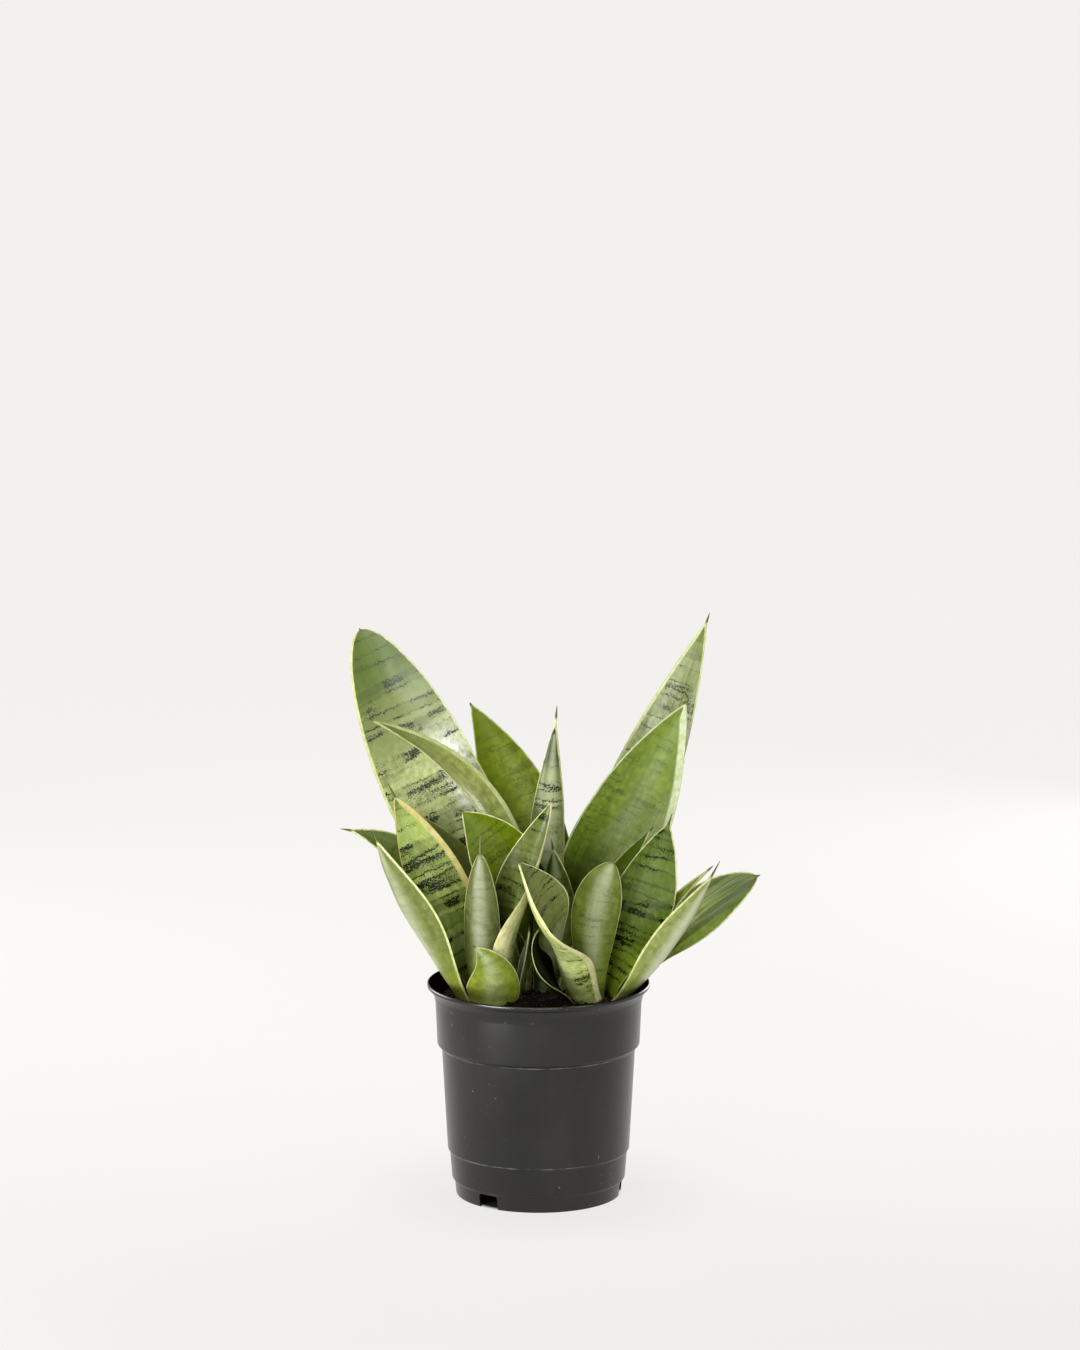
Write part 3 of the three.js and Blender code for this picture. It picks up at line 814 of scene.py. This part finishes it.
def pot_profile(settings):
    wall = settings.wall / MM
    rim = settings.rim_radius / MM
    top = settings.height / MM
    outside = wall_outside(settings)
    floor_top = FLOOR_UNDERSIDE + wall
    inside = [
        (radius - wall, height + (0.6 if height < COLLAR_HEIGHT + 2 else 0))
        for radius, height in outside
        if height > floor_top
    ]
    profile = [
        (0, 0),
        (PAD_RADIUS, 0),
        (PAD_RADIUS + 1.5, FLOOR_UNDERSIDE),
        (FOOT_RADIUS - wall, FLOOR_UNDERSIDE),
        (FOOT_RADIUS - wall - 0.4, 0),
        (FOOT_RADIUS, 0),
        *outside,
        (rim, top - 1.9),
        (rim, top),
        (rim - 1.6, top),
        *reversed(inside),
        (FOOT_RADIUS - 0.8, floor_top),
        (PAD_RADIUS, floor_top),
        (PAD_RADIUS - wall, wall),
        (0, wall),
    ]
    return [(radius * MM, height * MM) for radius, height in profile]


class SNAKEPLANT_OT_add_pot(bpy.types.Operator):
    """Turn the stepped nursery pot and cut its notches and drain holes"""

    bl_idname = "snake_plant.add_pot"
    bl_label = "Add Pot"
    bl_options = {"REGISTER", "UNDO"}

    def execute(self, context):
        settings = context.scene.snake_plant.pot
        bm = bmesh.new()
        lathe(bm, pot_profile(settings), steps=192, edge_radius=settings.edge_radius)
        material = pot_material(settings)
        pot = add_piece("pot_moulded", bm, material, slot="pot")
        cut(pot, self.cutter(material))
        pot.data.name = pot.name
        pot.data.shade_smooth()
        pot.data.set_sharp_from_angle(angle=math.radians(POT_SHARP_ANGLE))
        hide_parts("pot")
        return {"FINISHED"}

    def cutter(self, material):
        bm = bmesh.new()
        for bearing in NOTCH_BEARINGS:
            place = Matrix.Translation(around_axis(bearing, FOOT_RADIUS * MM))
            turn = Matrix.Rotation(math.radians(bearing), 4, "Z")
            size = Matrix.Diagonal((NOTCH_DEPTH * MM, NOTCH_WIDTH * MM, 2 * NOTCH_HEIGHT * MM, 1))
            box = bmesh.ops.create_cube(bm, size=1, matrix=place @ turn @ size)["verts"]
            top = [v for v in box if v.co.z > 0]
            edges = [e for e in bm.edges if all(v in top for v in e.verts)]
            radial = [
                e for e in edges
                if abs(e.verts[0].co.xy.length - e.verts[1].co.xy.length) > 0.5 * NOTCH_DEPTH * MM
            ]
            rounded(bm, radial, NOTCH_ROUNDING * MM, 4)
        for i in range(DRAIN_HOLES):
            place = around_axis(i * 360 / DRAIN_HOLES, DRAIN_CIRCLE * MM) + Vector((0, 0, 8.5 * MM))
            bmesh.ops.create_cone(
                bm, cap_ends=True, cap_tris=False, segments=32, radius1=DRAIN_RADIUS * MM,
                radius2=DRAIN_RADIUS * MM, depth=6 * MM, matrix=Matrix.Translation(place),
            )
        bmesh.ops.recalc_face_normals(bm, faces=bm.faces)
        return add_piece("pot_cutter", bm, material)


# ---- soil and crowns ----
SOIL_INSET = 5.6  # of the soil's edge from the lip's outside, all in millimetres
WALL_GAP = 0.4  # between the soil's side and the wall
LUMP_SIZE = 9
DIP_DEPTH = 4.5  # round each crown
DIP_SLOPE = 5
WALL_DIP_FROM = 50  # from the axis, where the soil starts to fall towards the wall
WALL_DIP = 1.5
SOIL_RINGS = 44  # of faces across the soil's top


def lump(point, size, seed):
    """A value about 0 that changes over `size` metres."""
    return noise.fractal(Vector((point.x, point.y, seed)) / size, 0.8, 2.1, 4)


class SNAKEPLANT_OT_add_soil(bpy.types.Operator):
    """Fill the pot with lumpy potting mix that dips round each crown, and scatter crumbs on it"""

    bl_idname = "snake_plant.add_soil"
    bl_label = "Add Soil"
    bl_options = {"REGISTER", "UNDO"}

    def execute(self, context):
        settings = context.scene.snake_plant.soil
        pot = context.scene.snake_plant.pot
        material = soil_material(settings)
        radius = pot.rim_radius - SOIL_INSET * MM
        bm = bmesh.new()
        lathe(bm, self.profile(pot, radius), steps=180)
        for vert in bm.verts:
            if vert.co.z > (SOIL_LEVEL - 0.5) * MM:
                vert.co.z += self.rise(vert.co, settings)
        soil = add_piece("soil_mix", bm, material, slot="soil")
        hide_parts("soil")
        self.scatter(settings, material, radius)
        return {"FINISHED"}

    def profile(self, pot, radius):
        """Up the inside of the wall and in over the top, in rings close enough for the lumps."""
        wall = pot.wall
        side = [
            (outside * MM - wall - WALL_GAP * MM, height * MM + 1 * MM)
            for outside, height in wall_outside(pot)
            if FLOOR_UNDERSIDE + 3 < height < SOIL_LEVEL - 2
        ]
        floor = (FLOOR_UNDERSIDE + 0.3) * MM + wall
        top = [(radius * (SOIL_RINGS - i) / SOIL_RINGS, SOIL_LEVEL * MM) for i in range(SOIL_RINGS + 1)]
        return [(0, floor), (FOOT_RADIUS * MM - wall, floor), *side, *top]

    def rise(self, point, settings):
        height = settings.roughness * lump(point, LUMP_SIZE * MM, 3.1)
        for x, y in ROSETTE_CENTRES.values():
            away = (point.xy - Vector((x, y)) * MM).length / MM
            height -= DIP_DEPTH * MM * (1 - ease((away - CROWN_RADIUS + 2) / DIP_SLOPE))
        near_wall = ease((point.xy.length / MM - WALL_DIP_FROM) / DIP_SLOPE)
        return height - WALL_DIP * MM * near_wall

    def scatter(self, settings, material, radius):
        """Loose crumbs, each a squashed ball of a few faces, on the soil and on the crowns."""
        rng = random.Random(7)
        bm = bmesh.new()
        for _ in range(settings.crumbs):
            spot = around_axis(rng.uniform(0, 360), (radius - 1.5 * MM) * math.sqrt(rng.random()))
            on_crown = min((spot.xy - Vector(c) * MM).length for c in ROSETTE_CENTRES.values())
            ground = SOIL_LEVEL * MM + self.rise(spot, settings)
            if on_crown < CROWN_RADIUS * MM:
                ground = CROWN_TOP * MM
            size = settings.crumb_size * mix(0.3, 1, rng.random() ** 2.5)
            turn = Euler([rng.uniform(0, math.tau) for _ in range(3)]).to_matrix().to_4x4()
            broad, flat = rng.uniform(0.6, 0.95), rng.uniform(0.45, 0.8)
            squash = Matrix.Diagonal((size, size * broad, size * flat, 1))
            spot.z = ground + 0.25 * size
            crumb = bmesh.ops.create_icosphere(
                bm, subdivisions=1, radius=1, matrix=Matrix.Translation(spot) @ turn @ squash,
            )["verts"]
            for vert in crumb:
                vert.co += (vert.co - spot) * rng.uniform(-0.22, 0.22)
        add_piece("soil_crumbs", bm, material, slot="soil")


class SNAKEPLANT_OT_add_crowns(bpy.types.Operator):
    """Turn the fibrous crown that each rosette stands on"""

    bl_idname = "snake_plant.add_crowns"
    bl_label = "Add Crowns"
    bl_options = {"REGISTER", "UNDO"}

    def execute(self, context):
        material = crown_material(context.scene.snake_plant.soil)
        profile = [
            (0, CROWN_TOP - CROWN_DEPTH),
            (CROWN_RADIUS * 0.5, CROWN_TOP - CROWN_DEPTH),
            (CROWN_RADIUS * 0.85, CROWN_TOP - CROWN_DEPTH * 0.6),
            (CROWN_RADIUS, CROWN_TOP - 3),
            (CROWN_RADIUS, CROWN_TOP - 0.2),
            *((CROWN_RADIUS * share, CROWN_TOP - 0.2) for share in (0.85, 0.7, 0.55, 0.4, 0.25, 0.12)),
            (0, CROWN_TOP - 0.2),
        ]
        for side, (x, y) in ROSETTE_CENTRES.items():
            bm = bmesh.new()
            lathe(bm, [(r * MM, h * MM) for r, h in profile], steps=72, edge_radius=0.5 * MM)
            for vert in bm.verts:
                if vert.co.xy.length > 1 * MM:
                    vert.co.xy *= 1 - 0.025 * abs(noise.noise(vert.co / (4 * MM)))
            bmesh.ops.translate(bm, verts=bm.verts, vec=(x * MM, y * MM, 0))
            crown = add_piece(f"crown_fibrous_{side}", bm, material, slot="crown")
            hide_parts(f"crown_{side}")
        return {"FINISHED"}


# ---- leaves ----
RINGS = 84  # of faces along a leaf
AWL_RINGS = 6  # of these, in the awl
AROUND = 44  # faces around a leaf, both sides together
AWL_HALF = 0.65  # half the width of an awl where it starts, in millimetres
AWL_FADE = 2  # millimetres of blade below the awl that turn its colour
LEAF_WELD = 0.002 * MM
RIPPLE_ACROSS = 14  # millimetres over which the ripple changes
RIPPLE_ALONG = 22
WAVE_ALONG = 7  # the same for the finer wave of the margins
RIPPLE_FROM = 0.25  # share of the length at which the ripple has its full height
FULL_HALF = 8  # half width, in millimetres, from which it does


class Spine:
    """The parabola that a leaf follows, by share of its length."""

    STEPS = 200

    def __init__(self, leaf, centre):
        self.seat = around_axis(leaf.bearing, leaf.ring) + Vector((*centre, CROWN_TOP - SEAT_TRIM))
        self.tip = Vector(leaf.tip)
        self.handle = 2 * Vector(leaf.mid) - 0.5 * self.seat - 0.5 * self.tip
        points = [self.point(i / self.STEPS) for i in range(self.STEPS + 1)]
        self.lengths = [0.0]
        for a, b in zip(points, points[1:]):
            self.lengths.append(self.lengths[-1] + (b - a).length)
        self.length = self.lengths[-1]

    def point(self, t):
        return self.seat * (1 - t) ** 2 + self.handle * (2 * t * (1 - t)) + self.tip * t**2

    def tangent(self, t):
        return ((self.handle - self.seat) * (1 - t) + (self.tip - self.handle) * t).normalized()

    def at(self, share):
        """Place and direction at a share of the length."""
        target = share * self.length
        low, high = 0, self.STEPS
        while high - low > 1:
            middle = (low + high) // 2
            low, high = (middle, high) if self.lengths[middle] <= target else (low, middle)
        span = self.lengths[high] - self.lengths[low]
        t = (low + (target - self.lengths[low]) / span) / self.STEPS
        return self.point(t), self.tangent(t)


def width_at(share, leaf):
    """Share of the full width: narrow where it clasps the crown, then widest, then drawn to a point."""
    if share < leaf.widest:
        return mix(leaf.base, 1, math.sin(share / leaf.widest * math.pi / 2) ** 1.5)
    rest = (share - leaf.widest) / (1 - leaf.widest)
    return max(0, math.cos(rest * math.pi / 2)) ** leaf.point


@dataclass
class Section:
    """The leaf's cross-section at one ring, in millimetres."""

    share: float
    at: Vector
    side: Vector
    face: Vector
    half: float
    cup: float
    keel: float
    on_awl: float


def sections(leaf, spine, settings):
    """One section for each ring, from the seat to the end of the awl."""
    blade = 1 - leaf.awl / spine.length
    clasp_cup = leaf.base * leaf.width / 2 / leaf.ring
    normal = around_axis(leaf.bearing, -1)
    made = []
    for ring in range(RINGS + 1):
        even = min(1, ring / (RINGS - AWL_RINGS))
        beyond = max(0, ring - (RINGS - AWL_RINGS)) / AWL_RINGS
        bunched = mix(even, math.sin(even * math.pi / 2), RING_BUNCHING)
        share = mix(blade * bunched, 1, beyond)
        at, along = spine.at(share)
        normal = (normal - along * normal.dot(along)).normalized()
        turned = math.radians(leaf.twist) * ease(share / TWIST_END)
        face = Quaternion(along, turned) @ normal
        awl_half = mix(AWL_HALF, 0.12, beyond)
        half = max(awl_half, leaf.width * width_at(min(1, share / blade), leaf) / 2)
        cup = mix(clasp_cup, math.radians(leaf.cup), ease(share / CUP_END))
        cup = mix(cup, math.radians(leaf.tip_cup), ease((share - CUP_END) / (1 - CUP_END)))
        keel = mix(settings.keel, settings.tip, share) / MM
        near_tip = ease((share - blade) * spine.length / AWL_FADE + 1)
        made.append(
            Section(share, at, along.cross(face), face, half, cup, min(keel, 1.9 * half), near_tip)
        )
    return made


def leaf_mesh(leaf, centre, seed, settings):
    """Rolls a grid into the leaf's closed skin: its x goes round the section, its y along the leaf."""
    spine = Spine(leaf, centre)
    rings = sections(leaf, spine, settings)
    bm = bmesh.new()
    bmesh.ops.create_grid(bm, x_segments=AROUND, y_segments=RINGS, size=0.5)
    layers = {name: bm.verts.layers.float.new(name) for name in ("edge", "inner", "share", "awl")}
    uv = bm.loops.layers.uv.new("Blade")
    blade_place = {}
    for vert in bm.verts:
        turn = (vert.co.x + 0.5) * math.tau
        ring = rings[round((vert.co.y + 0.5) * RINGS)]
        across = -math.cos(turn)
        lift = math.sin(turn)
        angle = ring.cup * across
        thickness = mix(ring.keel, min(ring.keel, settings.margin / MM), across * across)
        rounded = math.sqrt(max(0, 1 - across**10)) if abs(across) < 1 else 0
        inward = ring.face * math.cos(angle) - ring.side * math.sin(angle)
        radius = ring.half / ring.cup
        rise = ring.share * spine.length
        flow = Vector((across * ring.half / RIPPLE_ACROSS, rise / RIPPLE_ALONG, seed * 3.7))
        ripple = settings.ripple / MM * noise.noise(flow) * ease(ring.share / RIPPLE_FROM)
        ripple *= min(1, ring.half / FULL_HALF)
        wave = 0.5 * ripple * across**2 * math.sin(rise / WAVE_ALONG + seed * 2.1 + 1.5 * across)
        offset = math.copysign(rounded * thickness / 2, lift) if abs(lift) > 1e-6 else 0
        blade_place[vert] = (across * ring.half / 10, rise / 10)
        vert[layers["edge"]] = (1 - abs(across)) * ring.half
        vert[layers["inner"]] = lift
        vert[layers["share"]] = ring.share
        vert[layers["awl"]] = ring.on_awl
        vert.co = MM * (
            ring.at
            + ring.side * (radius * math.sin(angle))
            + ring.face * (radius * (1 - math.cos(angle)))
            + inward * (offset + ripple + wave)
        )
    for face in bm.faces:
        for loop in face.loops:
            loop[uv].uv = blade_place[loop.vert]
    weld(bm, LEAF_WELD)
    bmesh.ops.holes_fill(bm, edges=[e for e in bm.edges if e.is_boundary], sides=0)
    bmesh.ops.recalc_face_normals(bm, faces=bm.faces)
    return bm


class SNAKEPLANT_OT_grow_leaves(bpy.types.Operator):
    """Grow the leaves of the three rosettes"""

    bl_idname = "snake_plant.grow_leaves"
    bl_label = "Grow Leaves"
    bl_options = {"REGISTER", "UNDO"}

    def execute(self, context):
        settings = context.scene.snake_plant.leaves
        seed = 0
        for side, leaves in LEAVES.items():
            for number, leaf in enumerate(leaves, start=1):
                seed += 1
                node = f"leaf_{side}_{number}"
                bm = leaf_mesh(leaf, ROSETTE_CENTRES[side], seed, settings)
                material = leaf_material(f"skin_{side}_{number}", SKINS[leaf.skin], seed * 1.37, settings)
                blade = add_piece(f"blade_{side}_{number}", bm, material, slot="leaf")
                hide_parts(node)
        return {"FINISHED"}


# ---- the studio ----
CAMERA_PLACE = (0.0008, -2.904, 0.809)
CAMERA_PITCH = 79.76  # degrees from straight down
FRAME_SIDE = 36  # millimetres, the frame's long side
FOCAL_LENGTH = 147.47
LIGHT_AIM = Vector((0, 0, 0.15))  # about the middle of the plant
LIGHTS = (  # name, place, size and the setting that holds the power
    ("key", (-0.75, -1.9, 1.15), (1.0, 1.0), "key"),
    ("top", (0.1, 0.1, 1.7), (1.4, 1.0), "top"),
    ("fill_front", (0.25, -2.2, 0.2), (1.0, 0.4), "fill"),
    ("fill_left", (-1.35, -1.35, 0.2), (0.6, 0.4), "fill"),
    ("low_left", (-0.42, -0.42, 0.08), (0.3, 0.1), "low"),
    ("fill_right", (1.2, -1.2, 0.6), (0.6, 0.9), "fill"),
    ("side_left", (-0.8, 0.5, 0.3), (0.5, 0.55), "side"),
    ("side_right", (0.65, 0.9, 0.3), (0.5, 0.55), "side"),
)


class SNAKEPLANT_OT_set_stage(bpy.types.Operator):
    """Lay a pale sweep, hang soft lights and set the camera"""

    bl_idname = "snake_plant.set_stage"
    bl_label = "Set Stage"
    bl_options = {"REGISTER", "UNDO"}

    def execute(self, context):
        settings = context.scene.snake_plant.stage
        self.sweep(settings)
        self.lights(settings)
        camera = bpy.data.objects.new("Camera", bpy.data.cameras.new("Camera"))
        camera.data.lens = FOCAL_LENGTH
        camera.data.sensor_width = FRAME_SIDE
        camera.data.sensor_fit = "AUTO"
        camera.location = CAMERA_PLACE
        camera.rotation_euler = (math.radians(CAMERA_PITCH), 0, 0)
        context.scene.collection.objects.link(camera)
        context.scene.camera = camera
        context.scene.view_settings.view_transform = "Standard"
        context.scene.view_settings.look = "Medium High Contrast"
        return {"FINISHED"}

    def sweep(self, settings):
        """A floor that turns up into a wall behind."""
        bm = bmesh.new()
        corners = [bm.verts.new(p) for p in ((-4, -4, 0), (4, -4, 0), (4, 3, 0), (-4, 3, 0))]
        floor = bm.faces.new(corners)
        back = [e for e in floor.edges if all(v.co.y > 0 for v in e.verts)]
        raised = bmesh.ops.extrude_edge_only(bm, edges=back)["geom"]
        bmesh.ops.translate(
            bm, verts=[g for g in raised if isinstance(g, bmesh.types.BMVert)], vec=(0, 0.6, 4)
        )
        rounded(bm, back, 1.5, 24)
        bmesh.ops.recalc_face_normals(bm, faces=bm.faces)
        add_piece("studio_sweep", bm, backdrop_material(settings))

    def lights(self, settings):
        world = bpy.data.worlds.new("Studio")
        world.use_nodes = True
        background = world.node_tree.nodes["Background"].inputs
        background["Color"].default_value = (1, 0.99, 0.97, 1)
        background["Strength"].default_value = settings.ambient
        bpy.context.scene.world = world
        for name, place, size, setting in LIGHTS:
            self.panel(name, place, size, getattr(settings, setting))

    def panel(self, name, place, size, power):
        """A rectangular soft light that looks at the middle of the plant."""
        light = bpy.data.lights.new(name, "AREA")
        light.shape = "RECTANGLE"
        light.size, light.size_y = size
        light.energy = power
        holder = bpy.data.objects.new(name, light)
        holder.location = place
        holder.visible_camera = False
        holder.rotation_euler = (LIGHT_AIM - Vector(place)).to_track_quat("-Z", "Y").to_euler()
        bpy.context.scene.collection.objects.link(holder)


# ---- the add-on ----
STEPS = (
    SNAKEPLANT_OT_set_stage,
    SNAKEPLANT_OT_add_pot,
    SNAKEPLANT_OT_add_soil,
    SNAKEPLANT_OT_add_crowns,
    SNAKEPLANT_OT_grow_leaves,
)


class SNAKEPLANT_PT_sidebar(bpy.types.Panel):
    """Lists the plant's pieces and settings"""

    bl_idname = "SNAKEPLANT_PT_sidebar"
    bl_label = "Snake Plant"
    bl_space_type = "VIEW_3D"
    bl_region_type = "UI"
    bl_category = "Snake Plant"

    def draw(self, context):
        settings = context.scene.snake_plant
        for step in STEPS:
            self.layout.operator(step.bl_idname)
        for group in (settings.pot, settings.soil, settings.leaves, settings.stage):
            box = self.layout.box()
            for name in group.bl_rna.properties.keys():
                if name not in ("rna_type", "name"):
                    box.prop(group, name)


CLASSES = (
    PotSettings,
    SoilSettings,
    LeafSettings,
    StageSettings,
    SnakePlantSettings,
    *STEPS,
    SNAKEPLANT_PT_sidebar,
)


def register():
    for cls in CLASSES:
        bpy.utils.register_class(cls)
    bpy.types.Scene.snake_plant = PointerProperty(type=SnakePlantSettings)


def unregister():
    del bpy.types.Scene.snake_plant
    for cls in reversed(CLASSES):
        bpy.utils.unregister_class(cls)


def main():
    register()
    bpy.ops.snake_plant.set_stage()
    bpy.ops.snake_plant.add_pot()
    bpy.ops.snake_plant.add_soil()
    bpy.ops.snake_plant.add_crowns()
    bpy.ops.snake_plant.grow_leaves()


if __name__ == "__main__":
    main()
